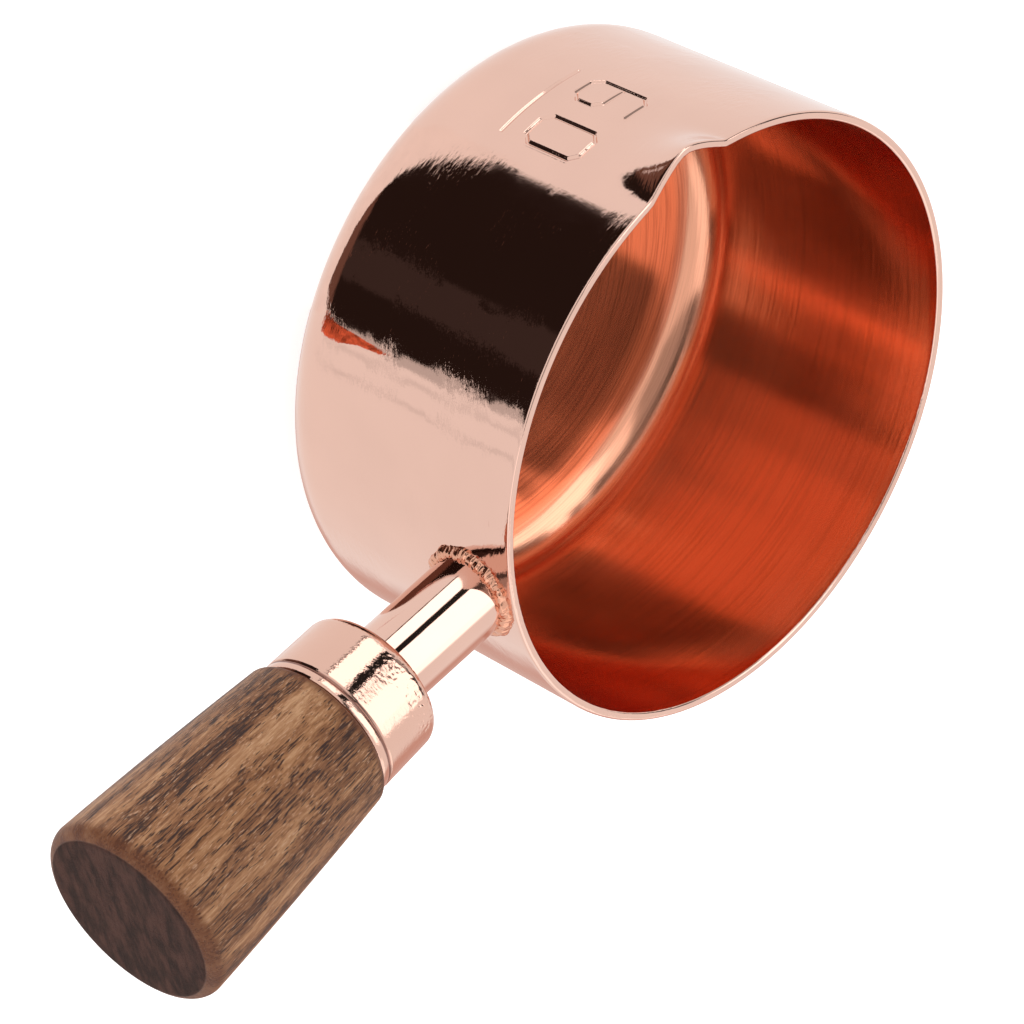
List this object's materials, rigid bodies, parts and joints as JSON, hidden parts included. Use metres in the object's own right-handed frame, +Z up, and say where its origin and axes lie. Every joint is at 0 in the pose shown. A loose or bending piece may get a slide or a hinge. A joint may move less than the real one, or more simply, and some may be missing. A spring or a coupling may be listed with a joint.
{
  "type": "measuring cup with a pouring lip and a wooden grip",
  "caption": "Small copper-plated measuring cup for bar use: straight drawn cup with a pinched pouring lip, welded neck, ferrule and turned wooden grip.",
  "frame": {"origin": "centre of the flat base on its underside, where the cup stands", "axes": "+Z up through the mouth, +X from the cup towards the grip, and the pouring lip on the -Y side"},
  "size_m": [0.1, 0.0579, 0.034],
  "materials": {
    "copper_plate": "bright copper plating on steel, polished outside and finely brushed inside",
    "copper_weld": "uneven weld and filler under the same copper plating",
    "stud_steel": "plain machined steel",
    "epoxy": "cured amber epoxy",
    "walnut": "clear satin lacquer on open-pored dark wood"
  },
  "bodies": {
    "root": {"cup_shell": "copper_plate", "neck_tube": "copper_plate", "neck_weld": "copper_weld", "ferrule": "copper_plate", "ferrule_braze": "copper_weld", "grip_stud": "stud_steel", "stud_weld": "stud_steel", "stud_adhesive": "epoxy", "tenon_adhesive": "epoxy", "wood_grip": "walnut"}
  },
  "joints": []
}
